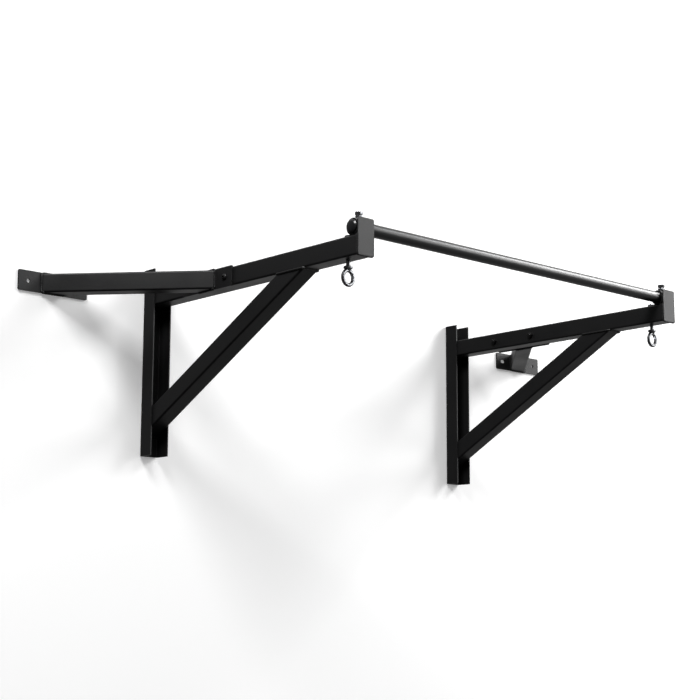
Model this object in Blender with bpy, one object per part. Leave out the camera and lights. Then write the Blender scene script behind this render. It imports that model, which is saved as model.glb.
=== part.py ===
"""Wall mounted pull up bar: two welded brackets, a round bar held in two sleeves, and two hanging eyes.

The origin is on the wall, midway between the brackets and halfway up their wall channels.
+X runs along the wall to the right bracket, -Y comes out of the wall, +Z is up.
"""

from math import copysign, cos, pi, radians, sin, sqrt

import bmesh
import bpy
from mathutils import Matrix, Vector

# ---------------------------------------------------------------------------------------------------------
# Driving dimensions, in metres
# ---------------------------------------------------------------------------------------------------------

GAP = 0.0003                    # air left between pieces that are welded, bolted or pushed together

BRACKET_SPACING = 1.186         # centre to centre of the two brackets, along the wall
SIDES = {"left": -1.0, "right": 1.0}

CHANNEL_WIDTH = 0.0586          # U-channel: back web on the wall, flanges towards the room
CHANNEL_DEPTH = 0.0500
CHANNEL_HEIGHT = 0.5100
CHANNEL_WALL = 0.0040
CHANNEL_BEND = 0.0060           # outer bend radius

TUBE_SIZE = 0.0500              # square tube of the arms and braces
TUBE_WALL = 0.0030
TUBE_CORNER = 0.0050            # outer corner radius
ARM_TOP = 0.2050                # height of the arm's top face
ARM_MIDDLE = ARM_TOP - TUBE_SIZE / 2.0
ARM_REACH = 0.8604              # wall to the front of the end plate

BRACE_FOOT = 0.3819             # depth below the arm's top where the brace's underside leaves the channel
BRACE_ANGLE = radians(28.33)    # slope of the diagonal brace

END_PLATE_WIDTH = 0.0520
END_PLATE_RISE = 0.0411         # how far the plate stands above the arm
END_PLATE_THICKNESS = 0.0040
END_PLATE_CORNER = 0.0050

BAR_DIAMETER = 0.0320
BAR_WALL = 0.0025
SLEEVE_DIAMETER = 0.0420
SLEEVE_BORE = 0.0326
SLEEVE_LENGTH = 0.0436
BAR_OUT = 0.8351                # wall to the bar's axis
BAR_HEIGHT = ARM_TOP + GAP + SLEEVE_DIAMETER / 2.0
BAR_BEYOND_SLEEVE = 0.0005
BAR_HALF_LENGTH = BRACKET_SPACING / 2.0 + SLEEVE_LENGTH / 2.0 + BAR_BEYOND_SLEEVE

CAP_FLANGE_DIAMETER = 0.0350
CAP_FACE_DIAMETER = 0.0235
CAP_RIM = 0.0020                # straight edge of the flange
CAP_HEAD = 0.0062               # from the bar's end to the edge of the face
CAP_SWELL = 0.0005              # rise of the slope between rim and face over a straight cone
CAP_DOME = 0.0007
CAP_PLUG_LENGTH = 0.0160

M10_SHANK = 0.0100
M10_HOLE = 0.0108
M10_ACROSS_FLATS = 0.0170
M10_NUT_HEIGHT = 0.0080
LOCK_HEAD_HEIGHT = 0.0080
LOCK_HEAD_LIFT = 0.0018         # bare thread showing between the welded nut and the bolt's head
LOCK_HEAD_TURN = radians(11.0)  # how the tightened head stands, turned from the wall's direction
LOCK_TIP_AIR = 0.0005           # between the bolt's tip and the bar

EYE_OUT = 0.7975                # wall to the eye bolts' axis
EYE_SHANK_BELOW = 0.0160        # thread showing between the arm and the eye's collar
EYE_COLLAR_DIAMETER = 0.0220
EYE_COLLAR_HEIGHT = 0.0060
EYE_RING_WIRE = 0.0098          # thickness of the ring's round section
EYE_RING_HALF_WIDTH = 0.0162    # semi-axes of the ring's centre line
EYE_RING_HALF_HEIGHT = 0.0177
EYE_NUT_HEIGHT = 0.0080         # nut on the arm's top
EYE_SHANK_ABOVE = 0.0017        # thread showing above the top nut

SIDE_PLATE_LENGTH = 0.2080
SIDE_PLATE_HEIGHT = 0.0540
SIDE_PLATE_THICKNESS = 0.0050
SIDE_PLATE_CORNER = 0.0040
SIDE_HOLE_SPACING = 0.1490
SIDE_SLOT_LENGTH = 0.0200       # the wall plate's inner hole is a level slot
SIDE_ARM_OUT = 0.2855           # wall to the middle of the plate that is bolted on the arm
SIDE_WALL_REACH = 0.3178        # bracket's centre to the middle of the plate on the wall, along X
SIDE_DROP = 0.0073              # how much lower the side brace stands on the wall than on the arm
BUTTON_HEAD_DIAMETER = 0.0175
BUTTON_HEAD_HEIGHT = 0.0055
HEX_KEY_ACROSS_FLATS = 0.0060
HEX_KEY_DEPTH = 0.0030

WALL_HOLE_DIAMETER = 0.0105
WALL_HOLE_HEIGHTS = (0.2300, 0.1050, -0.0150, -0.2330)

# ---------------------------------------------------------------------------------------------------------
# Materials
# ---------------------------------------------------------------------------------------------------------


def make_material(name, colour, roughness, metallic):
    """A Principled material with plain values."""
    material = bpy.data.materials.new(name)
    material.use_nodes = True
    shader = material.node_tree.nodes["Principled BSDF"]
    shader.inputs["Base Color"].default_value = (*colour, 1.0)
    shader.inputs["Roughness"].default_value = roughness
    shader.inputs["Metallic"].default_value = metallic
    material.diffuse_color = (*colour, 1.0)
    return material


# ---------------------------------------------------------------------------------------------------------
# Outlines
# ---------------------------------------------------------------------------------------------------------


def arc(centre, radius, start, end, steps):
    """Points of an arc, both ends included; the angles are in radians."""
    points = []
    for index in range(steps + 1):
        angle = start + (end - start) * index / steps
        points.append((centre[0] + radius * cos(angle), centre[1] + radius * sin(angle)))
    return points


def rounded_rectangle(width, height, radius, steps=4):
    """Outline of a rectangle with equal round corners, about the origin."""
    return rounded_corners(width, height, (radius,) * 4, steps)


def rounded_corners(width, height, radii, steps=4):
    """Outline of a rectangle whose four corners, from the top right anticlockwise, have their own radii."""
    points = []
    signs = ((1, 1), (-1, 1), (-1, -1), (1, -1))
    for index, ((sign_u, sign_v), radius) in enumerate(zip(signs, radii)):
        centre = (sign_u * (width / 2.0 - radius), sign_v * (height / 2.0 - radius))
        start = index * pi / 2.0
        points += arc(centre, radius, start, start + pi / 2.0, steps)
    return points


def hexagon(across_flats, turn=0.0):
    """Outline of a regular hexagon about the origin."""
    radius = across_flats / sqrt(3.0)
    return [(radius * cos(turn + k * pi / 3.0), radius * sin(turn + k * pi / 3.0)) for k in range(6)]


def channel_outline():
    """U-shaped outline: u along the wall, v out from the wall."""
    half = CHANNEL_WIDTH / 2.0
    inner_bend = CHANNEL_BEND - CHANNEL_WALL
    lip = 0.0006
    inner_half = half - CHANNEL_WALL
    centre = half - CHANNEL_BEND
    right_outer = [(half, CHANNEL_DEPTH - lip), (half - lip, CHANNEL_DEPTH)]
    right_inner = [(inner_half + lip, CHANNEL_DEPTH), (inner_half, CHANNEL_DEPTH - lip)]
    outer = arc((-centre, CHANNEL_BEND), CHANNEL_BEND, pi, 1.5 * pi, 5)
    outer += arc((centre, CHANNEL_BEND), CHANNEL_BEND, 1.5 * pi, 2.0 * pi, 5)
    inner = arc((centre, CHANNEL_BEND), inner_bend, 0.0, -0.5 * pi, 3)
    inner += arc((-centre, CHANNEL_BEND), inner_bend, -0.5 * pi, -pi, 3)
    left_inner = [(-u, v) for u, v in reversed(right_inner)]
    left_outer = [(-u, v) for u, v in reversed(right_outer)]
    return outer + right_outer + right_inner + inner + left_inner + left_outer


# ---------------------------------------------------------------------------------------------------------
# Solids
# ---------------------------------------------------------------------------------------------------------


def add_object(name, bm, material, placement=Matrix()):
    """Turn a bmesh into a named object that stands at its placement, shaded smooth but for its edges."""
    bmesh.ops.recalc_face_normals(bm, faces=bm.faces)
    mesh = bpy.data.meshes.new(name)
    bm.to_mesh(mesh)
    bm.free()
    mesh.materials.append(material)
    mesh.shade_smooth()
    mesh.set_sharp_from_angle(angle=radians(32.0))
    obj = bpy.data.objects.new(name, mesh)
    obj.matrix_world = placement
    bpy.context.collection.objects.link(obj)
    return obj


def loft(rings, closed_ends=True):
    """A bmesh through equal rings of points, with the first and last ring filled."""
    bm = bmesh.new()
    loops = [[bm.verts.new(point) for point in ring] for ring in rings]
    count = len(rings[0])
    for lower, upper in zip(loops, loops[1:]):
        for index in range(count):
            following = (index + 1) % count
            bm.faces.new((lower[index], lower[following], upper[following], upper[index]))
    if closed_ends:
        bm.faces.new(reversed(loops[0]))
        bm.faces.new(loops[-1])
    return bm


def prism(outline, low, high, bevel=0.0):
    """An outline extruded along Z, with its end edges broken by a small bevel."""
    rings = [[(u, v, low) for u, v in outline], [(u, v, high) for u, v in outline]]
    bm = loft(rings)
    if bevel > 0.0:
        rim = [edge for edge in bm.edges if abs(edge.verts[0].co.z - edge.verts[1].co.z) < 1e-7]
        bmesh.ops.bevel(bm, geom=rim, offset=bevel, segments=2, profile=0.5, affect="EDGES")
    return bm


def square_tube(start, end):
    """A hollow square tube along its own W axis; start and end give W at each section point (u, v)."""
    outer = rounded_rectangle(TUBE_SIZE, TUBE_SIZE, TUBE_CORNER)
    bore = TUBE_SIZE - 2.0 * TUBE_WALL
    inner = rounded_rectangle(bore, bore, TUBE_CORNER - TUBE_WALL)
    rings = []
    for section, cut in ((outer, start), (outer, end), (inner, end), (inner, start)):
        rings.append([(u, v, cut(u, v)) for u, v in section])
    rings.append(rings[0])
    bm = loft(rings, closed_ends=False)
    bmesh.ops.remove_doubles(bm, verts=bm.verts, dist=1e-6)
    return bm


def turned(profile, segments=28):
    """A solid turned about Z from a profile of (radius, z) that starts and ends on the axis."""
    rings = []
    for radius, height in profile[1:-1]:
        ring = [(radius * cos(a), radius * sin(a), height) for a in circle_angles(segments)]
        rings.append(ring)
    return loft(rings)


def pipe(outer_radius, inner_radius, low, high, segments=36, chamfer=0.0006):
    """A round pipe along Z with a small chamfer on its outer rims."""
    profile = (
        (outer_radius - chamfer, low),
        (outer_radius, low + chamfer),
        (outer_radius, high - chamfer),
        (outer_radius - chamfer, high),
        (inner_radius, high),
        (inner_radius, low),
        (outer_radius - chamfer, low),
    )
    rings = [[(r * cos(a), r * sin(a), z) for a in circle_angles(segments)] for r, z in profile]
    bm = loft(rings, closed_ends=False)
    bmesh.ops.remove_doubles(bm, verts=bm.verts, dist=1e-6)
    return bm


def circle_angles(segments):
    """Evenly spaced angles round a circle."""
    return [2.0 * pi * index / segments for index in range(segments)]


def cut_with(target, cutter_bm, placement):
    """Take a cutter's shape out of the target with a live Boolean."""
    add_boolean(target, cutter_bm, placement, "DIFFERENCE")


def join_with(target, tool_bm, placement):
    """Join a second shape to the target with a live Boolean, so that both are one body."""
    add_boolean(target, tool_bm, placement, "UNION")


def add_boolean(target, tool_bm, placement, operation):
    """Put a Boolean modifier on the target, with a hidden object as its tool."""
    name = f"{target.name}_tool_{len(target.modifiers) + 1}"
    tool = add_object(name, tool_bm, target.data.materials[0], placement)
    tool.hide_render = True
    tool.display_type = "WIRE"
    modifier = target.modifiers.new(operation.lower(), "BOOLEAN")
    modifier.operation = operation
    modifier.solver = "EXACT"
    modifier.object = tool
    tool.hide_set(True)


def drill(target, centre, direction, diameter, length, segments=16):
    """A round hole along a direction, centred on a point."""
    radius = diameter / 2.0
    outline = [(radius * cos(a), radius * sin(a)) for a in circle_angles(segments)]
    cut_with(target, prism(outline, -length / 2.0, length / 2.0), axis_frame(centre, direction))


def axis_frame(origin, direction):
    """A frame at the origin whose Z axis follows the direction and whose Y axis leans upwards."""
    z_axis = Vector(direction).normalized()
    y_axis = Vector((0.0, 0.0, 1.0))
    y_axis -= z_axis * y_axis.dot(z_axis)
    if y_axis.length < 1e-6:
        y_axis = Vector((0.0, 1.0, 0.0))
    y_axis.normalize()
    x_axis = y_axis.cross(z_axis)
    rotation = Matrix((x_axis, y_axis, z_axis)).transposed().to_4x4()
    return Matrix.Translation(Vector(origin)) @ rotation


# ---------------------------------------------------------------------------------------------------------
# Bracket: channel, arm, brace and end plate
# ---------------------------------------------------------------------------------------------------------


def bracket_x(side):
    """Where a bracket's middle plane stands along the wall."""
    return SIDES[side] * BRACKET_SPACING / 2.0


def build_channel(side, material):
    """Upright U-channel whose web lies on the wall, drilled for the wall anchors."""
    outline = [(u, -v) for u, v in channel_outline()]
    half = CHANNEL_HEIGHT / 2.0
    channel = add_object(
        f"{side}_wall_channel", prism(outline, -half, half), material,
        Matrix.Translation((bracket_x(side), 0.0, 0.0)))
    for height in WALL_HOLE_HEIGHTS:
        centre = (bracket_x(side), -CHANNEL_WALL / 2.0, height)
        drill(channel, centre, (0.0, 1.0, 0.0), WALL_HOLE_DIAMETER, 3.0 * CHANNEL_WALL)


def build_arm(side, material):
    """Horizontal tube from just clear of the channel's inner bend to the end plate."""
    origin = (bracket_x(side), 0.0, ARM_MIDDLE)
    placement = axis_frame(origin, (0.0, -1.0, 0.0))
    start = CHANNEL_BEND + GAP
    end = ARM_REACH - END_PLATE_THICKNESS - GAP
    bm = square_tube(lambda u, v: start, lambda u, v: end)
    arm = add_object(f"{side}_arm", bm, material, placement)
    through = TUBE_SIZE + 0.01
    eye_centre = (bracket_x(side), -EYE_OUT, ARM_MIDDLE)
    drill(arm, eye_centre, (0.0, 0.0, 1.0), M10_HOLE, through)
    for bolt_out in side_bolt_outs():
        bolt_centre = (bracket_x(side), -bolt_out, ARM_MIDDLE)
        drill(arm, bolt_centre, (1.0, 0.0, 0.0), M10_HOLE, through)


def build_brace(side, material):
    """Diagonal tube: its foot sits between the channel's flanges, its head meets the arm's underside."""
    slope = (cos(BRACE_ANGLE), sin(BRACE_ANGLE))
    underside_start = (CHANNEL_DEPTH, ARM_TOP - BRACE_FOOT)
    half = TUBE_SIZE / 2.0
    out = underside_start[0] - half * slope[1]
    height = underside_start[1] + half * slope[0]
    placement = axis_frame((bracket_x(side), -out, height), (0.0, -slope[0], slope[1]))
    foot_out = CHANNEL_BEND + GAP
    head_height = ARM_TOP - TUBE_SIZE - GAP

    def foot(u, v):
        return (foot_out - out + v * slope[1]) / slope[0]

    def head(u, v):
        return (head_height - height - v * slope[0]) / slope[1]

    add_object(f"{side}_diagonal_brace", square_tube(foot, head), material, placement)


def build_end_plate(side, material):
    """Upright plate that closes the arm and stands in front of the bar."""
    height = TUBE_SIZE + END_PLATE_RISE
    square_corner = 0.0012
    radii = (END_PLATE_CORNER, END_PLATE_CORNER, square_corner, square_corner)
    outline = rounded_corners(END_PLATE_WIDTH, height, radii)
    centre = (bracket_x(side), -ARM_REACH + END_PLATE_THICKNESS, ARM_TOP + END_PLATE_RISE - height / 2.0)
    bm = prism(outline, 0.0, END_PLATE_THICKNESS, bevel=0.0004)
    add_object(f"{side}_end_plate", bm, material, axis_frame(centre, (0.0, -1.0, 0.0)))


# ---------------------------------------------------------------------------------------------------------
# Bar, sleeves, caps and lock bolts
# ---------------------------------------------------------------------------------------------------------


def along_bar(x):
    """Frame on the bar's axis, with Z along +X."""
    return axis_frame((x, -BAR_OUT, BAR_HEIGHT), (1.0, 0.0, 0.0))


def build_sleeve(side, material, nut_material):
    """Short pipe welded on the arm, with a nut for the lock bolt welded on its crown."""
    half = SLEEVE_LENGTH / 2.0
    sleeve = add_object(
        f"{side}_bar_sleeve", pipe(SLEEVE_DIAMETER / 2.0, SLEEVE_BORE / 2.0, -half, half),
        material, along_bar(bracket_x(side)))
    crown = (bracket_x(side), -BAR_OUT, BAR_HEIGHT + SLEEVE_DIAMETER / 2.0)
    drill(sleeve, crown, (0.0, 0.0, 1.0), M10_HOLE, 0.012)
    hex_nut(f"{side}_lock_nut", nut_material, (crown[0], crown[1], crown[2] + GAP), (0.0, 0.0, 1.0))


def build_bar(material):
    """The round gripping bar, a tube that passes through both sleeves."""
    outer = BAR_DIAMETER / 2.0
    bm = pipe(outer, outer - BAR_WALL, -BAR_HALF_LENGTH, BAR_HALF_LENGTH)
    add_object("pull_up_bar", bm, material, along_bar(0.0))


def build_cap(side, material):
    """Domed plastic plug in the bar's end, with a flange a little wider than the bar."""
    plug = BAR_DIAMETER / 2.0 - BAR_WALL - GAP
    flange = CAP_FLANGE_DIAMETER / 2.0
    face = CAP_FACE_DIAMETER / 2.0
    rim = GAP + CAP_RIM
    top = GAP + CAP_HEAD
    profile = [(0.0, -CAP_PLUG_LENGTH), (plug - 0.0015, -CAP_PLUG_LENGTH), (plug, 0.0015 - CAP_PLUG_LENGTH)]
    profile += [(plug, GAP), (flange - 0.0005, GAP), (flange, GAP + 0.0005)]
    for index in range(6):
        share = index / 5.0
        swell = 4.0 * CAP_SWELL * share * (1.0 - share)
        profile.append((flange + (face - flange) * share, rim + (top - rim) * share + swell))
    profile += [(0.6 * face, top + 0.64 * CAP_DOME), (0.3 * face, top + 0.91 * CAP_DOME)]
    profile.append((0.0, top + CAP_DOME))
    origin = (SIDES[side] * BAR_HALF_LENGTH, -BAR_OUT, BAR_HEIGHT)
    placement = axis_frame(origin, (SIDES[side], 0.0, 0.0))
    add_object(f"{side}_bar_cap", turned(profile), material, placement)


def hex_nut(name, material, seat, direction, height=M10_NUT_HEIGHT):
    """A hexagon nut with a clear hole, seated on a point and rising along a direction."""
    bm = prism(hexagon(M10_ACROSS_FLATS), 0.0, height, bevel=0.0006)
    nut = add_object(name, bm, material, axis_frame(seat, direction))
    middle = Vector(seat) + Vector(direction) * height / 2.0
    drill(nut, middle, direction, M10_HOLE, 2.0 * height)


def build_lock_bolt(side, material):
    """Hex bolt that runs down through the welded nut to the bar; its origin is on its own axis."""
    tip = BAR_HEIGHT + BAR_DIAMETER / 2.0 + LOCK_TIP_AIR
    head = BAR_HEIGHT + SLEEVE_DIAMETER / 2.0 + GAP + M10_NUT_HEIGHT + LOCK_HEAD_LIFT
    placement = Matrix.Translation((bracket_x(side), -BAR_OUT, head))
    head_shape = prism(hexagon(M10_ACROSS_FLATS, LOCK_HEAD_TURN), 0.0, LOCK_HEAD_HEIGHT, bevel=0.0008)
    bolt = add_object(f"{side}_lock_bolt", head_shape, material, placement)
    shank = M10_SHANK / 2.0
    length = head - tip
    profile = [(0.0, -length), (shank - 0.0012, -length), (shank, 0.0012 - length)]
    profile += [(shank, 0.001), (0.0, 0.001)]
    join_with(bolt, turned(profile, 16), placement)


# ---------------------------------------------------------------------------------------------------------
# Hanging eyes
# ---------------------------------------------------------------------------------------------------------


def ring_body(segments=32, sides=10):
    """Oval ring of round wire in the XZ plane, about the origin."""
    bm = bmesh.new()
    wire = EYE_RING_WIRE / 2.0
    loops = []
    for angle in circle_angles(segments):
        centre = Vector((EYE_RING_HALF_WIDTH * cos(angle), 0.0, EYE_RING_HALF_HEIGHT * sin(angle)))
        tangent = Vector((-EYE_RING_HALF_WIDTH * sin(angle), 0.0, EYE_RING_HALF_HEIGHT * cos(angle)))
        across = tangent.normalized().cross(Vector((0.0, 1.0, 0.0)))
        loop = []
        for turn in circle_angles(sides):
            point = centre + across * (wire * cos(turn)) + Vector((0.0, wire * sin(turn), 0.0))
            loop.append(bm.verts.new(point))
        loops.append(loop)
    for index, loop in enumerate(loops):
        following = loops[(index + 1) % segments]
        for side in range(sides):
            beside = (side + 1) % sides
            bm.faces.new((loop[side], loop[beside], following[beside], following[side]))
    return bm


def build_eye(side, material, nut_material):
    """Forged eye bolt: ring, neck, collar and a shank that passes up through the arm to a nut.

    Its origin is on its own upright axis, at the arm's underside.
    """
    underside = ARM_TOP - TUBE_SIZE
    placement = Matrix.Translation((bracket_x(side), -EYE_OUT, underside))
    collar = EYE_COLLAR_DIAMETER / 2.0
    shank = M10_SHANK / 2.0
    seat = -EYE_SHANK_BELOW
    neck = seat - EYE_COLLAR_HEIGHT
    top = TUBE_SIZE + GAP + EYE_NUT_HEIGHT + EYE_SHANK_ABOVE
    wire = EYE_RING_WIRE / 2.0
    ring_top = neck + 0.0008
    ring_centre = ring_top - wire - EYE_RING_HALF_HEIGHT
    profile = [(0.0, ring_top - 1.6 * wire), (0.9 * wire, ring_top - 1.6 * wire)]
    profile += [(1.25 * wire, ring_top - 1.1 * wire), (0.75 * collar, neck - 0.0012), (0.93 * collar, neck)]
    profile += [(collar, neck + 0.0012), (collar, seat - 0.0010), (collar - 0.0010, seat)]
    profile += [(shank + 0.0008, seat), (shank, seat + 0.0008)]
    profile += [(shank, top - 0.0012), (shank - 0.0012, top), (0.0, top)]
    eye = add_object(f"{side}_eye_bolt", turned(profile, 24), material, placement)
    ring_placement = placement @ Matrix.Translation((0.0, 0.0, ring_centre))
    join_with(eye, ring_body(), ring_placement)
    seat_on_arm = (bracket_x(side), -EYE_OUT, ARM_TOP + GAP)
    hex_nut(f"{side}_eye_nut", nut_material, seat_on_arm, (0.0, 0.0, 1.0), EYE_NUT_HEIGHT)


# ---------------------------------------------------------------------------------------------------------
# Side brace: a tube at about 45 degrees from the arm back to the wall, with a drilled plate at each end
# ---------------------------------------------------------------------------------------------------------


def side_bolt_outs():
    """Distances from the wall of the two bolts that hold the side brace on the arm."""
    return (SIDE_ARM_OUT - SIDE_HOLE_SPACING / 2.0, SIDE_ARM_OUT + SIDE_HOLE_SPACING / 2.0)


def side_arm_face():
    """Distance, along X from the bracket's centre, of the arm plate's outer face."""
    return TUBE_SIZE / 2.0 + GAP + SIDE_PLATE_THICKNESS


def drilled_plate(name, material, placement):
    """Flat plate with two holes; its back is at Z = 0 of its own frame."""
    outline = rounded_rectangle(SIDE_PLATE_LENGTH, SIDE_PLATE_HEIGHT, SIDE_PLATE_CORNER)
    plate = add_object(name, prism(outline, 0.0, SIDE_PLATE_THICKNESS, bevel=0.0004), material, placement)
    normal = placement.to_3x3() @ Vector((0.0, 0.0, 1.0))
    for sign in (-1.0, 1.0):
        offset = Vector((sign * SIDE_HOLE_SPACING / 2.0, 0.0, SIDE_PLATE_THICKNESS / 2.0))
        drill(plate, placement @ offset, normal, M10_HOLE, 3.0 * SIDE_PLATE_THICKNESS)
    return plate


def build_side_brace(side, material, bolt_material):
    """Mitred tube between a plate bolted on the arm and a plate on the wall."""
    outward = SIDES[side]
    x_arm = bracket_x(side) + outward * (TUBE_SIZE / 2.0 + GAP)
    arm_frame = axis_frame((x_arm, -SIDE_ARM_OUT, ARM_MIDDLE), (outward, 0.0, 0.0))
    drilled_plate(f"{side}_side_arm_plate", material, arm_frame)
    x_wall = bracket_x(side) + outward * SIDE_WALL_REACH
    wall_middle = ARM_MIDDLE - SIDE_DROP
    wall_frame = axis_frame((x_wall, 0.0, wall_middle), (0.0, -1.0, 0.0))
    wall_plate = drilled_plate(f"{side}_side_wall_plate", material, wall_frame)
    toward_arm = -copysign(1.0, outward * wall_frame.col[0].x)
    slot_offset = Matrix.Translation((toward_arm * SIDE_HOLE_SPACING / 2.0, 0.0, 0.0))
    slot_outline = rounded_rectangle(SIDE_SLOT_LENGTH, M10_HOLE, 0.48 * M10_HOLE)
    slot = prism(slot_outline, -SIDE_PLATE_THICKNESS, 2.0 * SIDE_PLATE_THICKNESS)
    cut_with(wall_plate, slot, wall_frame @ slot_offset)

    start = Vector((bracket_x(side) + outward * side_arm_face(), -SIDE_ARM_OUT, ARM_MIDDLE))
    end = Vector((x_wall, -SIDE_PLATE_THICKNESS, wall_middle))
    tube_frame = axis_frame(start, end - start)
    across, upward, along = tube_frame.to_3x3().col

    def arm_end(u, v):
        return (GAP * outward - u * across.x - v * upward.x) / along.x

    def wall_end(u, v):
        return (end.y - GAP - start.y - u * across.y - v * upward.y) / along.y

    add_object(f"{side}_side_tube", square_tube(arm_end, wall_end), material, tube_frame)

    for number, bolt_out in enumerate(side_bolt_outs(), start=1):
        build_side_bolt(side, number, bolt_out, bolt_material)


def build_side_bolt(side, number, bolt_out, material):
    """Button head bolt through the plate and the arm, with a nut on the arm's inner face."""
    outward = SIDES[side]
    head_x = bracket_x(side) + outward * (side_arm_face() + GAP)
    placement = axis_frame((head_x, -bolt_out, ARM_MIDDLE), (outward, 0.0, 0.0))
    shank = M10_SHANK / 2.0
    head = BUTTON_HEAD_DIAMETER / 2.0
    nut_seat = side_arm_face() + GAP + TUBE_SIZE / 2.0 + GAP
    length = nut_seat + M10_NUT_HEIGHT + 0.0025
    profile = [(0.0, -length), (shank - 0.001, -length), (shank, 0.001 - length), (shank, 0.0)]
    profile += [(head - 0.0004, 0.0), (head, 0.0004)]
    for index in range(1, 4):
        angle = radians(78.0 * index / 4.0)
        profile.append((head * cos(angle), 0.0004 + (BUTTON_HEAD_HEIGHT - 0.0004) * sin(angle)))
    profile += [(0.4 * head, BUTTON_HEAD_HEIGHT), (0.0, BUTTON_HEAD_HEIGHT)]
    bolt = add_object(f"{side}_side_bolt_{number}", turned(profile, 20), material, placement)
    key_floor = BUTTON_HEAD_HEIGHT - HEX_KEY_DEPTH
    key = prism(hexagon(HEX_KEY_ACROSS_FLATS), key_floor, BUTTON_HEAD_HEIGHT + 0.001)
    cut_with(bolt, key, placement)
    nut_x = bracket_x(side) - outward * (TUBE_SIZE / 2.0 + GAP)
    hex_nut(f"{side}_side_nut_{number}", material, (nut_x, -bolt_out, ARM_MIDDLE), (-outward, 0.0, 0.0))


# ---------------------------------------------------------------------------------------------------------
# Assembly
# ---------------------------------------------------------------------------------------------------------


def build_all():
    """Clear the scene and build every piece."""
    for obj in list(bpy.data.objects):
        bpy.data.objects.remove(obj, do_unlink=True)

    steel = make_material("black_powder_coat", (0.022, 0.022, 0.024), 0.48, 0.0)
    bar_steel = make_material("black_bar_coat", (0.026, 0.026, 0.028), 0.34, 0.0)
    zinc = make_material("bright_zinc", (0.72, 0.73, 0.74), 0.24, 1.0)
    black_oxide = make_material("black_oxide", (0.035, 0.035, 0.037), 0.38, 0.7)
    plastic = make_material("black_plastic", (0.016, 0.016, 0.017), 0.32, 0.0)

    build_bar(bar_steel)
    for side in SIDES:
        build_channel(side, steel)
        build_arm(side, steel)
        build_brace(side, steel)
        build_end_plate(side, steel)
        build_sleeve(side, steel, zinc)
        build_cap(side, plastic)
        build_lock_bolt(side, zinc)
        build_eye(side, zinc, zinc)
        build_side_brace(side, steel, black_oxide)


build_all()
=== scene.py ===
import random
from math import cos, pi, radians, sin, sqrt

import bmesh
import bpy
from mathutils import Matrix, Vector


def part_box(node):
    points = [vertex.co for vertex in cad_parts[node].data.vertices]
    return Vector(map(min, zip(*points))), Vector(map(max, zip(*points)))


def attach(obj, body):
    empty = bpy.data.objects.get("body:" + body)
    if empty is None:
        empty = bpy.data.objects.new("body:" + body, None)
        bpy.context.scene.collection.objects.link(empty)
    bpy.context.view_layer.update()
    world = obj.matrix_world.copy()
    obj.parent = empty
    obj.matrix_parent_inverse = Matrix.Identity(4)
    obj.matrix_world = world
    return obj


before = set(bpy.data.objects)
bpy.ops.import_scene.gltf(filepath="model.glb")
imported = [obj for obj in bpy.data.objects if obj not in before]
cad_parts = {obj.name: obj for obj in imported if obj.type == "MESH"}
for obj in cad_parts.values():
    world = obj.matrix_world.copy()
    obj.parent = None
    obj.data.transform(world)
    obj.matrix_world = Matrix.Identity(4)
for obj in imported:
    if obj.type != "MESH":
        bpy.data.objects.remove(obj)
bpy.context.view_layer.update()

# The powder-coated wall-mounted pull up bar, in the CAD frame: the wall is the
# plane y = 0, the bar runs along X and +Z is up. Lengths are in metres.
SIDES = ("left", "right")

# Camera.
CAMERA_PLACE = Vector((-3.0631, -3.4966, -0.7076))
CAMERA_TURN = radians(-42.5436)
CAMERA_LIFT = radians(9.9906)
CAMERA_ROLL = radians(0.1667)
CAMERA_LENS = 81.11
CAMERA_REACH = 200.0
SENSOR_WIDTH = 36.0

# Weld beads: radii, and offsets from the faces and edges that they follow. The spread
# is a share of the sleeve's radius, and the reach is a share of the nut's half width.
BEAD_SIDES = 10
RIPPLE_PITCH = 0.0024
RIPPLE_STEPS = 3
RIPPLE_DEPTH = 0.13
RIPPLE_DRIFT = 0.06
BEAD_END_SIZE = 0.55
BEAD_END_GROWTH = 0.15
TUBE_BEAD = 0.0036
SIDE_BEAD = 0.0042
PLATE_BEAD = 0.0033
PLATE_BEAD_SHIFT = 0.0009
PLATE_EDGE_BEAD = 0.0026
PLATE_EDGE_INSET = 0.0018
PLATE_EDGE_SINK = 0.0022
PLATE_EDGE_START = 0.001
PLATE_EDGE_PAST_ARM = 0.003
SLEEVE_BEAD = 0.0028
SLEEVE_BEAD_SPREAD = 0.53
SLEEVE_BEAD_LIFT = 0.0009
SLEEVE_BEAD_TRIM = 0.001
NUT_BEAD = 0.0017
NUT_BEAD_REACH = 0.97
NUT_BEAD_POINTS = 36

# Random seeds of the beads' ripples.
TUBE_SEED = 10
SLEEVE_SEED = 30
NUT_SEED = 31
PLATE_SEED = 33
SEEDS_PER_SIDE = 50

# Screw threads on M10 shanks, and where each starts and stops.
SHANK_RADIUS = 0.005
THREAD_PITCH = 0.0015
THREAD_STEPS = 20
THREAD_RISE = 0.00025
THREAD_HALF_WIDTH = 0.00055
THREAD_HALF_CREST = 0.00012
THREAD_SINK = 0.0003
THREAD_END_SIZE = 0.2
THREAD_END_GROWTH = 0.1
THREAD_IN_NUT = 0.001
THREAD_TIP = 0.0006
EYE_THREAD_BELOW_ARM = 0.0135
EYE_THREAD_IN_ARM = 0.004
LOCK_THREAD_BELOW_TOP = 0.0084

# Measuring the CAD: what counts as one face, one point, a straight line or no length.
FACE_TOLERANCE = 0.00008
JOIN_DISTANCE = 0.000005
OUTLINE_DIGITS = 6
LEAST_TURN = 1e-12
LEAST_LENGTH = 1e-9

# Edge rounding and smooth shading.
EDGE_ROUND = 0.0007
EDGE_STEPS = 2
EDGE_ANGLE = radians(40.0)
SMOOTH_ANGLE = radians(32.0)
FLAT_FACE_WEIGHT = 100

# Surroundings: brightness = level + slope . direction, never under the least.
WORLD_SLOPE = (0.42, 0.05, 0.45)
WORLD_LEVEL = 0.24
WORLD_LEAST = 0.03

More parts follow.
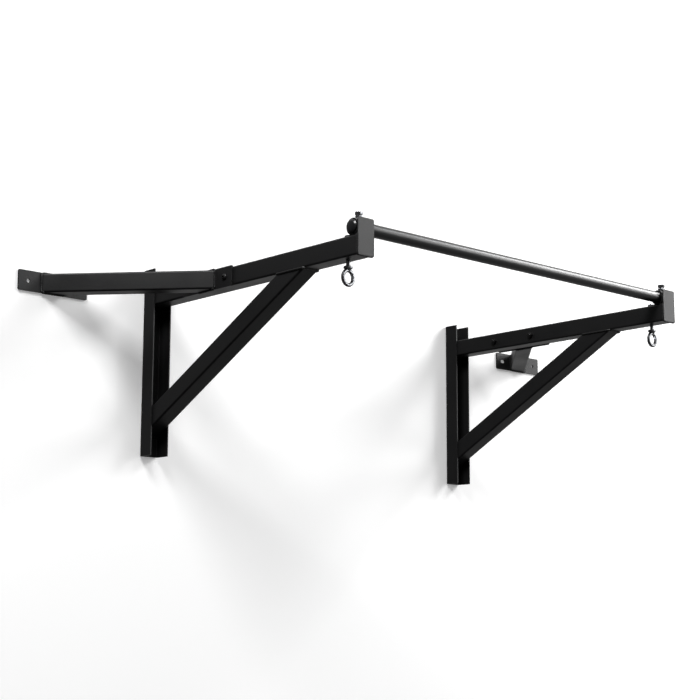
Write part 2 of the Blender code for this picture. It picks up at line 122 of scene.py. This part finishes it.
# Stage: heights, half widths, the wall's distance behind the frame, and glows.
FLOOR = -2.2
CEILING = 5.0
STAGE_HALF_WIDTH = 9.0
STAGE_DEPTH = 9.0
WALL_GAP = 0.0006
BACKDROP_HALF_SIZE = 30.0
WALL_GLOW = 0.24
FLOOR_GLOW = 0.25
BACKDROP_GLOW = 0.80


# ---------------------------------------------------------------- node helpers
def new_material(name):
    """A material with a Principled shader, and its node tree."""
    material = bpy.data.materials.new(name)
    material.use_nodes = True
    tree = material.node_tree
    shader = tree.nodes["Principled BSDF"]
    return material, tree, shader


def add_node(tree, kind, **inputs):
    """A node of one kind with some of its inputs set by name."""
    node = tree.nodes.new(kind)
    for name, value in inputs.items():
        node.inputs[name.replace("_", " ")].default_value = value
    return node


def object_noise(tree, scale, detail=3.0, roughness=0.55):
    """Noise fixed to the object, with its scale in features for each metre."""
    place = tree.nodes.new("ShaderNodeTexCoord")
    noise = add_node(tree, "ShaderNodeTexNoise", Scale=scale, Detail=detail, Roughness=roughness)
    tree.links.new(place.outputs["Object"], noise.inputs["Vector"])
    return noise.outputs["Fac"]


def ramp(tree, source, stops):
    """A colour ramp over a value, from (position, colour) stops."""
    node = tree.nodes.new("ShaderNodeValToRGB")
    elements = node.color_ramp.elements
    elements[0].position, elements[0].color = stops[0][0], (*stops[0][1], 1.0)
    elements[1].position, elements[1].color = stops[-1][0], (*stops[-1][1], 1.0)
    for position, colour in stops[1:-1]:
        element = elements.new(position)
        element.color = (*colour, 1.0)
    tree.links.new(source, node.inputs["Fac"])
    return node.outputs["Color"]


def span(tree, source, low, high, start=0.3, stop=0.7):
    """A value from start to stop, which noise fills by default, spread over low to high."""
    node = add_node(tree, "ShaderNodeMapRange", From_Min=start, From_Max=stop, To_Min=low, To_Max=high)
    tree.links.new(source, node.inputs["Value"])
    return node.outputs["Result"]


def bump(tree, height, distance, strength=1.0, under=None):
    """A bump node over a height, stacked on another one if given."""
    node = add_node(tree, "ShaderNodeBump", Strength=strength, Distance=distance)
    tree.links.new(height, node.inputs["Height"])
    if under is not None:
        tree.links.new(under, node.inputs["Normal"])
    return node.outputs["Normal"]


# ------------------------------------------------------------------- materials
def powder_coat(name, dark, light, smooth, rough, specular, grazing, peel):
    """Powder coat: orange peel, a slow drift in gloss, and its own gloss at grazing angles."""
    material, tree, shader = new_material(name)
    slow = object_noise(tree, scale=9.0)
    grain = object_noise(tree, scale=620.0, detail=4.0)
    waves = object_noise(tree, scale=180.0, detail=2.0)
    tree.links.new(ramp(tree, grain, [(0.30, dark), (0.72, light)]), shader.inputs["Base Color"])
    mix = tree.nodes.new("ShaderNodeMath")
    mix.operation = "ADD"
    tree.links.new(span(tree, slow, smooth, rough), mix.inputs[0])
    tree.links.new(span(tree, grain, low=-0.04, high=0.04), mix.inputs[1])
    tree.links.new(mix.outputs["Value"], shader.inputs["Roughness"])
    facing = add_node(tree, "ShaderNodeLayerWeight", Blend=0.5)
    gloss = span(tree, facing.outputs["Facing"], specular, grazing, start=0.5, stop=0.9)
    tree.links.new(gloss, shader.inputs["Specular IOR Level"])
    first = bump(tree, waves, distance=peel * 5.0, strength=0.6)
    tree.links.new(bump(tree, grain, distance=peel, strength=0.6, under=first), shader.inputs["Normal"])
    return material


def zinc_plate(name):
    """Bright zinc over forged or turned steel, faintly mottled, with painted shade that darkens its
    colour where it turns away from the view.
    """
    material, tree, shader = new_material(name)
    mottle = object_noise(tree, scale=240.0, detail=5.0)
    fine = object_noise(tree, scale=1500.0, detail=2.0)
    tone = ramp(tree, mottle, [(0.25, (0.42, 0.43, 0.45)), (0.75, (0.64, 0.65, 0.67))])
    # Painted shade: a facing ramp darkens the colour towards the edges that turn away from the view,
    # standing in for dark reflections.
    edge = add_node(tree, "ShaderNodeLayerWeight", Blend=0.5)
    painted_rim_shade = ramp(tree, edge.outputs["Facing"], [(0.20, (1.0, 1.0, 1.0)), (0.42, (0.20, 0.20, 0.20)),
                                             (0.80, (0.04, 0.04, 0.04))])
    shade = tree.nodes.new("ShaderNodeMixRGB")
    shade.blend_type = "MULTIPLY"
    shade.inputs["Fac"].default_value = 1.0
    tree.links.new(tone, shade.inputs["Color1"])
    tree.links.new(painted_rim_shade, shade.inputs["Color2"])
    tree.links.new(shade.outputs["Color"], shader.inputs["Base Color"])
    shader.inputs["Metallic"].default_value = 1.0
    tree.links.new(span(tree, mottle, low=0.10, high=0.20), shader.inputs["Roughness"])
    tree.links.new(bump(tree, fine, distance=0.00001, strength=0.4), shader.inputs["Normal"])
    return material


def black_oxide(name):
    """Blackened fastener steel: a dark metal with a thin oily sheen."""
    material, tree, shader = new_material(name)
    mottle = object_noise(tree, scale=300.0, detail=4.0)
    tone = ramp(tree, mottle, [(0.30, (0.010, 0.010, 0.011)), (0.75, (0.034, 0.033, 0.033))])
    tree.links.new(tone, shader.inputs["Base Color"])
    shader.inputs["Metallic"].default_value = 0.6
    tree.links.new(span(tree, mottle, low=0.30, high=0.50), shader.inputs["Roughness"])
    tree.links.new(bump(tree, mottle, distance=0.00005, strength=0.5), shader.inputs["Normal"])
    return material


def moulded_plastic(name):
    """Black polyethylene plug: soft gloss and a spark-eroded grain."""
    material, tree, shader = new_material(name)
    grain = object_noise(tree, scale=1100.0, detail=3.0)
    slow = object_noise(tree, scale=60.0)
    tone = ramp(tree, grain, [(0.3, (0.009, 0.009, 0.010)), (0.7, (0.018, 0.018, 0.019))])
    tree.links.new(tone, shader.inputs["Base Color"])
    tree.links.new(span(tree, slow, low=0.14, high=0.24), shader.inputs["Roughness"])
    tree.links.new(bump(tree, grain, distance=0.00004, strength=0.5), shader.inputs["Normal"])
    return material


def stage_paint(name, colour, glow):
    """Matt paint with a little glow, seen from its front; from behind it is clear."""
    material, tree, shader = new_material(name)
    shader.inputs["Roughness"].default_value = 0.9
    shader.inputs["Specular IOR Level"].default_value = 0.1
    shader.inputs["Emission Color"].default_value = (1.0, 1.0, 1.0, 1.0)
    shader.inputs["Emission Strength"].default_value = glow
    slow = object_noise(tree, scale=1.3)
    tree.links.new(ramp(tree, slow, [(0.2, colour), (0.8, [c * 0.985 for c in colour])]),
                   shader.inputs["Base Color"])
    clear = tree.nodes.new("ShaderNodeBsdfTransparent")
    choose = tree.nodes.new("ShaderNodeMixShader")
    side = tree.nodes.new("ShaderNodeNewGeometry")
    output = tree.nodes["Material Output"]
    tree.links.new(side.outputs["Backfacing"], choose.inputs["Fac"])
    tree.links.new(shader.outputs["BSDF"], choose.inputs[1])
    tree.links.new(clear.outputs["BSDF"], choose.inputs[2])
    tree.links.new(choose.outputs["Shader"], output.inputs["Surface"])
    return material


def make_materials():
    """The material of each slot in the record."""
    return {
        "black_powder_coat": powder_coat(
            "satin_black_powder_coat", dark=(0.0070, 0.0070, 0.0074), light=(0.0130, 0.0130, 0.0134),
            smooth=0.38, rough=0.48, specular=0.36, grazing=0.36, peel=0.00005),
        "black_bar_coat": powder_coat(
            "gloss_black_bar_coat", dark=(0.0080, 0.0080, 0.0085), light=(0.0125, 0.0125, 0.013),
            smooth=0.30, rough=0.38, specular=0.50, grazing=0.26, peel=0.00003),
        "bright_zinc": zinc_plate("bright_zinc_plate"),
        "black_oxide": black_oxide("black_oxide_steel"),
        "black_plastic": moulded_plastic("black_moulded_plastic"),
    }


# ---------------------------------------------------------- CAD nodes' surfaces
def geometry_group(name):
    """An empty geometry nodes group, with its input and output nodes."""
    group = bpy.data.node_groups.new(name, "GeometryNodeTree")
    group.interface.new_socket("Geometry", in_out="INPUT", socket_type="NodeSocketGeometry")
    group.interface.new_socket("Geometry", in_out="OUTPUT", socket_type="NodeSocketGeometry")
    return group, group.nodes.new("NodeGroupInput"), group.nodes.new("NodeGroupOutput")


def joining_group():
    """Geometry nodes that drop the stored flat normals and join split points."""
    group, start, end = geometry_group("join_points")
    merge = group.nodes.new("GeometryNodeMergeByDistance")
    merge.inputs["Distance"].default_value = JOIN_DISTANCE
    facets = group.nodes.new("GeometryNodeRemoveAttribute")
    facets.inputs["Name"].default_value = "custom_normal"
    group.links.new(start.outputs[0], facets.inputs["Geometry"])
    group.links.new(facets.outputs["Geometry"], merge.inputs["Geometry"])
    group.links.new(merge.outputs["Geometry"], end.inputs[0])
    return group


def smoothing_group():
    """Geometry nodes that shade faces smooth and keep edges over an angle sharp."""
    group, start, end = geometry_group("smooth_by_angle")
    faces = group.nodes.new("GeometryNodeSetShadeSmooth")
    faces.domain = "FACE"
    faces.inputs["Shade Smooth"].default_value = True
    edges = group.nodes.new("GeometryNodeSetShadeSmooth")
    edges.domain = "EDGE"
    edges.inputs["Shade Smooth"].default_value = False
    angle = group.nodes.new("GeometryNodeInputMeshEdgeAngle")
    over = group.nodes.new("FunctionNodeCompare")
    over.data_type = "FLOAT"
    over.operation = "GREATER_THAN"
    over.inputs["B"].default_value = SMOOTH_ANGLE
    group.links.new(start.outputs[0], faces.inputs["Geometry"])
    group.links.new(faces.outputs["Geometry"], edges.inputs["Geometry"])
    group.links.new(angle.outputs["Unsigned Angle"], over.inputs["A"])
    group.links.new(over.outputs["Result"], edges.inputs["Selection"])
    group.links.new(edges.outputs["Geometry"], end.inputs[0])
    return group


def add_group(obj, name, group):
    """A geometry nodes modifier on one object."""
    modifier = obj.modifiers.new(name, "NODES")
    modifier.node_group = group


def dress_nodes(materials, joined, smoothed):
    """Gives each CAD node its slot's material, joined points and softened edges."""
    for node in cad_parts.values():
        slot = node.data.materials[0].name.split(".")[0]
        node.data.materials[0] = materials[slot]
        add_group(node, "join", joined)
        rounding = node.modifiers.new("edges", "BEVEL")
        rounding.width = EDGE_ROUND
        rounding.segments = EDGE_STEPS
        rounding.limit_method = "ANGLE"
        rounding.angle_limit = EDGE_ANGLE
        add_group(node, "smooth", smoothed)
        flats = node.modifiers.new("flats", "WEIGHTED_NORMAL")
        flats.keep_sharp = True
        flats.weight = FLAT_FACE_WEIGHT


# ------------------------------------------------------------ meshes from paths
def mesh_object(name, points, faces, material, smoothed):
    """A mesh object with one material, its faces turned outward and shaded smooth by angle."""
    mesh = bpy.data.meshes.new(name)
    mesh.from_pydata([tuple(p) for p in points], [], faces)
    mesh.materials.append(material)
    work = bmesh.new()
    work.from_mesh(mesh)
    bmesh.ops.recalc_face_normals(work, faces=work.faces)
    work.to_mesh(mesh)
    work.free()
    obj = bpy.data.objects.new(name, mesh)
    bpy.context.scene.collection.objects.link(obj)
    add_group(obj, "smooth", smoothed)
    return obj


def resample(points, closed, step):
    """Evenly spaced points along a path."""
    path = list(points)
    if closed:
        path.append(path[0])
    lengths = [0.0]
    for a, b in zip(path, path[1:]):
        lengths.append(lengths[-1] + (b - a).length)
    count = max(4, round(lengths[-1] / step))
    spaced = []
    leg = 0
    for i in range(count if closed else count + 1):
        at = lengths[-1] * i / count
        while leg < len(path) - 2 and lengths[leg + 1] < at:
            leg += 1
        share = (at - lengths[leg]) / max(lengths[leg + 1] - lengths[leg], LEAST_LENGTH)
        spaced.append(path[leg].lerp(path[leg + 1], share))
    return spaced


def sweep(path, closed, profile, normal):
    """Points and faces of a profile(index) -> [(u, v)] swept along a path."""
    points = []
    count = len(path)
    sides = len(profile(0))
    for i, here in enumerate(path):
        if closed:
            ahead, back = path[(i + 1) % count], path[i - 1]
        else:
            ahead, back = path[min(i + 1, count - 1)], path[max(i - 1, 0)]
        along = (ahead - back).normalized()
        across = along.cross(normal).normalized()
        upright = across.cross(along).normalized()
        points += [here + across * u + upright * v for u, v in profile(i)]
    faces = []
    for i in range(count if closed else count - 1):
        for k in range(sides):
            a = i * sides + k
            b = i * sides + (k + 1) % sides
            c = ((i + 1) % count) * sides + (k + 1) % sides
            d = ((i + 1) % count) * sides + k
            faces.append((a, b, c, d))
    if not closed:
        faces.append(tuple(range(sides)))
        faces.append(tuple(range((count - 1) * sides, count * sides)))
    return points, faces


def weld_bead(name, points, closed, radius, normal, materials, smoothed, seed):
    """A rippled weld bead along a path, riding on the welded frame."""
    noise = random.Random(seed)
    path = resample(points, closed, RIPPLE_PITCH / RIPPLE_STEPS)
    ripples = len(path) // RIPPLE_STEPS + 2
    drift = [noise.uniform(-RIPPLE_DRIFT, RIPPLE_DRIFT) for _ in range(ripples)]

    def profile(i):
        phase = (i % RIPPLE_STEPS) / RIPPLE_STEPS
        size = radius * (1.0 - RIPPLE_DEPTH * phase + drift[i // RIPPLE_STEPS])
        if not closed:
            from_end = min(i, len(path) - 1 - i)
            size *= min(1.0, BEAD_END_SIZE + BEAD_END_GROWTH * from_end)
        return [(size * cos(2.0 * pi * k / BEAD_SIDES), size * sin(2.0 * pi * k / BEAD_SIDES))
                for k in range(BEAD_SIDES)]

    mesh_points, faces = sweep(path, closed, profile, normal)
    bead = mesh_object(name, mesh_points, faces, materials["black_powder_coat"], smoothed)
    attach(bead, "frame")


def hull(points):
    """The convex outline of 2D points, anticlockwise."""
    ordered = sorted(set((round(x, OUTLINE_DIGITS), round(y, OUTLINE_DIGITS)) for x, y in points))

    def half(sequence):
        chain = []
        for p in sequence:
            while len(chain) > 1:
                (ax, ay), (bx, by) = chain[-2], chain[-1]
                if (bx - ax) * (p[1] - ay) - (by - ay) * (p[0] - ax) > LEAST_TURN:
                    break
                chain.pop()
            chain.append(p)
        return chain[:-1]

    return half(ordered) + half(reversed(ordered))


def end_outline(node, axis, side):
    """The outline of a node's flat end face, on the low (0) or high (1) side of an axis."""
    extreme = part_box(node)[side][axis]
    others = [i for i in range(3) if i != axis]
    flat = [(v.co[others[0]], v.co[others[1]]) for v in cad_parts[node].data.vertices
            if abs(v.co[axis] - extreme) < FACE_TOLERANCE]
    outline = []
    for first, second in hull(flat):
        point = Vector((0.0, 0.0, 0.0))
        point[axis] = extreme
        point[others[0]] = first
        point[others[1]] = second
        outline.append(point)
    return outline


# ----------------------------------------------------------------------- welds
def bead_seed(side, number):
    """The random seed of one of a side's beads."""
    return number + SEEDS_PER_SIDE * SIDES.index(side)


def tube_end_beads(side, materials, smoothed):
    """Beads round the ends of the square tubes."""
    toward_arm = 1 if side == "left" else 0
    ends = (
        ("arm_root", "arm", 1, 1, TUBE_BEAD, 0.0),
        ("arm_tip", "arm", 1, 0, PLATE_BEAD, -PLATE_BEAD_SHIFT),
        ("brace_foot", "diagonal_brace", 1, 1, TUBE_BEAD, 0.0),
        ("brace_head", "diagonal_brace", 2, 1, TUBE_BEAD, 0.0),
        ("side_wall_end", "side_tube", 1, 1, SIDE_BEAD, 0.0),
        ("side_arm_end", "side_tube", 0, toward_arm, SIDE_BEAD, 0.0),
    )
    for number, (label, node, axis, high, radius, shift) in enumerate(ends):
        normal = Vector((0.0, 0.0, 0.0))
        normal[axis] = 1.0
        outline = [point + normal * shift for point in end_outline(f"{side}_{node}", axis, high)]
        weld_bead(f"{side}_{label}_weld", outline, True, radius, normal, materials, smoothed,
                  bead_seed(side, TUBE_SEED + number))


def plate_beads(side, materials, smoothed):
    """Beads down the end plate's two long edges, from the arm's bottom to just over its top."""
    low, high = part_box(f"{side}_end_plate")
    arm_low, arm_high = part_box(f"{side}_arm")
    edges = (("minus", low.x + PLATE_EDGE_INSET), ("plus", high.x - PLATE_EDGE_INSET))
    heights = (arm_low.z + PLATE_EDGE_START, arm_high.z + PLATE_EDGE_PAST_ARM)
    for number, (label, x) in enumerate(edges):
        line = [Vector((x, low.y + PLATE_EDGE_SINK, z)) for z in heights]
        weld_bead(f"{side}_end_plate_{label}_weld", line, False, PLATE_EDGE_BEAD,
                  Vector((0.0, 1.0, 0.0)), materials, smoothed, bead_seed(side, PLATE_SEED + number))


def sleeve_beads(side, materials, smoothed):
    """Beads along the foot of the bar sleeve and round the lock nut."""
    low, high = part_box(f"{side}_bar_sleeve")
    middle = (low + high) / 2.0
    radius = (high.z - low.z) / 2.0
    for label, way in (("front", -1.0), ("rear", 1.0)):
        y = middle.y + way * radius * SLEEVE_BEAD_SPREAD
        z = low.z + SLEEVE_BEAD_LIFT
        line = [Vector((x, y, z)) for x in (low.x + SLEEVE_BEAD_TRIM, high.x - SLEEVE_BEAD_TRIM)]
        weld_bead(f"{side}_sleeve_{label}_weld", line, False, SLEEVE_BEAD,
                  Vector((0.0, 0.0, 1.0)), materials, smoothed, bead_seed(side, SLEEVE_SEED))
    low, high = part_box(f"{side}_lock_nut")
    nut = (low + high) / 2.0
    reach = (high.x - low.x) / 2.0 * NUT_BEAD_REACH
    ring = []
    for i in range(NUT_BEAD_POINTS):
        turn = 2.0 * pi * i / NUT_BEAD_POINTS
        dy = reach * sin(turn)
        ring.append(Vector((nut.x + reach * cos(turn), nut.y + dy,
                            middle.z + sqrt(radius * radius - dy * dy))))
    weld_bead(f"{side}_lock_nut_weld", ring, True, NUT_BEAD, Vector((0.0, 0.0, 1.0)),
              materials, smoothed, bead_seed(side, NUT_SEED))


# --------------------------------------------------------------------- threads
def thread(name, middle, axis, start, end, body, slot, materials, smoothed):
    """A screw thread's helical ridge round a shank, between two places on its axis."""
    turns = (end - start) / THREAD_PITCH
    steps = max(THREAD_STEPS, round(turns * THREAD_STEPS))
    others = [i for i in range(3) if i != axis]
    path = []
    for i in range(steps + 1):
        turn = 2.0 * pi * turns * i / steps
        point = middle.copy()
        point[others[0]] += SHANK_RADIUS * cos(turn)
        point[others[1]] += SHANK_RADIUS * sin(turn)
        point[axis] = start + (end - start) * i / steps
        path.append(point)
    normal = Vector((0.0, 0.0, 0.0))
    normal[axis] = 1.0

    def profile(i):
        fade = min(1.0, THREAD_END_SIZE + THREAD_END_GROWTH * min(i, steps - i))
        half = THREAD_HALF_WIDTH * fade
        crest = THREAD_HALF_CREST * fade
        rise = THREAD_RISE * fade
        return [(-THREAD_SINK, half), (rise, crest), (rise, -crest), (-THREAD_SINK, -half)]

    points = []
    faces = []
    for i, here in enumerate(path):
        outward = here - middle
        outward[axis] = 0.0
        outward.normalize()
        points += [here + outward * u + normal * v for u, v in profile(i)]
    for i in range(steps):
        for k in range(4):
            a = i * 4 + k
            b = i * 4 + (k + 1) % 4
            faces.append((a, b, b + 4, a + 4))
    faces.append((0, 1, 2, 3))
    faces.append(tuple(range(steps * 4, steps * 4 + 4)))
    ridge = mesh_object(name, points, faces, materials[slot], smoothed)
    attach(ridge, body)


def add_threads(side, materials, smoothed):
    """Threads on the eye bolt, the lock bolt and the two side bolts."""
    eye_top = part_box(f"{side}_eye_bolt")[1].z
    nut_low, nut_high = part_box(f"{side}_eye_nut")
    arm_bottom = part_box(f"{side}_arm")[0].z
    middle = (nut_low + nut_high) / 2.0
    thread(f"{side}_eye_thread_low", middle, 2, arm_bottom - EYE_THREAD_BELOW_ARM,
           arm_bottom + EYE_THREAD_IN_ARM, f"{side}_eye", "bright_zinc", materials, smoothed)
    thread(f"{side}_eye_thread_high", middle, 2, nut_high.z - THREAD_IN_NUT, eye_top - THREAD_TIP,
           f"{side}_eye", "bright_zinc", materials, smoothed)
    bolt_low, bolt_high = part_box(f"{side}_lock_bolt")
    nut_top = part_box(f"{side}_lock_nut")[1].z
    middle = (bolt_low + bolt_high) / 2.0
    thread(f"{side}_lock_thread", middle, 2, nut_top - THREAD_IN_NUT, bolt_high.z - LOCK_THREAD_BELOW_TOP,
           f"{side}_lock_bolt", "bright_zinc", materials, smoothed)
    for number in (1, 2):
        bolt_low, bolt_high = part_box(f"{side}_side_bolt_{number}")
        nut_low, nut_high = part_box(f"{side}_side_nut_{number}")
        middle = (nut_low + nut_high) / 2.0
        if side == "left":
            start, end = nut_high.x - THREAD_IN_NUT, bolt_high.x - THREAD_TIP
        else:
            start, end = bolt_low.x + THREAD_TIP, nut_low.x + THREAD_IN_NUT
        thread(f"{side}_side_thread_{number}", middle, 0, start, end,
               "frame", "black_oxide", materials, smoothed)


# ----------------------------------------------------------------------- stage
def stage_panel(name, corners, faces, colour, glow):
    """A stage surface that only the camera sees; its front faces the way its corners turn."""
    mesh = bpy.data.meshes.new(name)
    mesh.from_pydata(corners, [], faces)
    mesh.materials.append(stage_paint(f"{name}_paint", colour, glow))
    panel = bpy.data.objects.new(name, mesh)
    bpy.context.scene.collection.objects.link(panel)
    panel.visible_glossy = False
    panel.visible_diffuse = False
    panel.visible_shadow = False


def softbox(name, place, target, width, height, power):
    """A rectangular white studio light that the camera doesn't see."""
    light = bpy.data.lights.new(name, "AREA")
    light.shape = "RECTANGLE"
    light.size = width
    light.size_y = height
    light.energy = power
    lamp = bpy.data.objects.new(name, light)
    lamp.location = place
    lamp.rotation_mode = "QUATERNION"
    lamp.rotation_quaternion = (Vector(target) - Vector(place)).to_track_quat("-Z", "Y")
    lamp.visible_camera = False
    bpy.context.scene.collection.objects.link(lamp)


def studio_world():
    """Surroundings that are bright above and to the right, and dim below and to the left."""
    world = bpy.data.worlds.new("studio")
    world.use_nodes = True
    tree = world.node_tree
    place = tree.nodes.new("ShaderNodeTexCoord")
    slope = tree.nodes.new("ShaderNodeVectorMath")
    slope.operation = "DOT_PRODUCT"
    slope.inputs[1].default_value = WORLD_SLOPE
    level = tree.nodes.new("ShaderNodeMath")
    level.inputs[1].default_value = WORLD_LEVEL
    least = tree.nodes.new("ShaderNodeMath")
    least.operation = "MAXIMUM"
    least.inputs[1].default_value = WORLD_LEAST
    tree.links.new(place.outputs["Generated"], slope.inputs[0])
    tree.links.new(slope.outputs["Value"], level.inputs[0])
    tree.links.new(level.outputs["Value"], least.inputs[0])
    sky = tree.nodes["Background"]
    sky.inputs["Color"].default_value = (1.0, 1.0, 1.0, 1.0)
    tree.links.new(least.outputs["Value"], sky.inputs["Strength"])
    bpy.context.scene.world = world


def build_stage():
    """The white wall, the pale floor, a pale backdrop, the lights and the surroundings."""
    front = ((-STAGE_HALF_WIDTH, -STAGE_DEPTH), (STAGE_HALF_WIDTH, -STAGE_DEPTH))
    back = ((STAGE_HALF_WIDTH, WALL_GAP), (-STAGE_HALF_WIDTH, WALL_GAP))
    one_face = [(0, 1, 2, 3)]
    wall_corners = [(x, y, z) for z, ends in ((FLOOR, back[::-1]), (CEILING, back)) for x, y in ends]
    stage_panel("wall", wall_corners, one_face, (0.90, 0.90, 0.90), WALL_GLOW)
    floor_corners = [(x, y, FLOOR) for x, y in front + back]
    stage_panel("floor", floor_corners, one_face, (0.80, 0.80, 0.79), FLOOR_GLOW)
    cube_corners = [(x * BACKDROP_HALF_SIZE, y * BACKDROP_HALF_SIZE, z * BACKDROP_HALF_SIZE)
                    for z in (-1, 1) for x, y in ((-1, -1), (1, -1), (1, 1), (-1, 1))]
    inward = [(0, 1, 2, 3), (7, 6, 5, 4), (0, 4, 5, 1), (1, 5, 6, 2), (2, 6, 7, 3), (3, 7, 4, 0)]
    stage_panel("backdrop", cube_corners, inward, (0.05, 0.05, 0.05), BACKDROP_GLOW)
    softbox("key_left", place=(-2.7, -1.9, 2.9), target=(-0.4, 0.0, 0.0),
            width=1.5, height=1.5, power=150.0)
    softbox("key_right", place=(3.8, -2.2, 2.6), target=(0.4, -0.2, 0.1),
            width=1.8, height=1.8, power=200.0)
    softbox("front_right", place=(4.1, -4.1, 1.35), target=(0.3, -0.8, 0.2),
            width=2.2, height=1.8, power=72.0)
    studio_world()
    bpy.context.scene.view_settings.view_transform = "Standard"


def place_camera():
    """The camera, from its place, heading, lift, roll and lens."""
    forward = Vector((-sin(CAMERA_TURN) * cos(CAMERA_LIFT), cos(CAMERA_TURN) * cos(CAMERA_LIFT),
                      sin(CAMERA_LIFT)))
    level = Vector((cos(CAMERA_TURN), sin(CAMERA_TURN), 0.0))
    upward = level.cross(forward)
    right = level * cos(CAMERA_ROLL) + upward * sin(CAMERA_ROLL)
    top = -level * sin(CAMERA_ROLL) + upward * cos(CAMERA_ROLL)
    turn = Matrix((right, top, -forward)).transposed().to_4x4()
    data = bpy.data.cameras.new("photo_camera")
    data.lens = CAMERA_LENS
    data.sensor_width = SENSOR_WIDTH
    data.clip_end = CAMERA_REACH
    camera = bpy.data.objects.new("photo_camera", data)
    camera.matrix_world = Matrix.Translation(CAMERA_PLACE) @ turn
    bpy.context.scene.collection.objects.link(camera)
    bpy.context.scene.camera = camera


# ----------------------------------------------------------------------- build
materials = make_materials()
smoothed = smoothing_group()
dress_nodes(materials, joining_group(), smoothed)
for side in SIDES:
    tube_end_beads(side, materials, smoothed)
    plate_beads(side, materials, smoothed)
    sleeve_beads(side, materials, smoothed)
    add_threads(side, materials, smoothed)
build_stage()
place_camera()
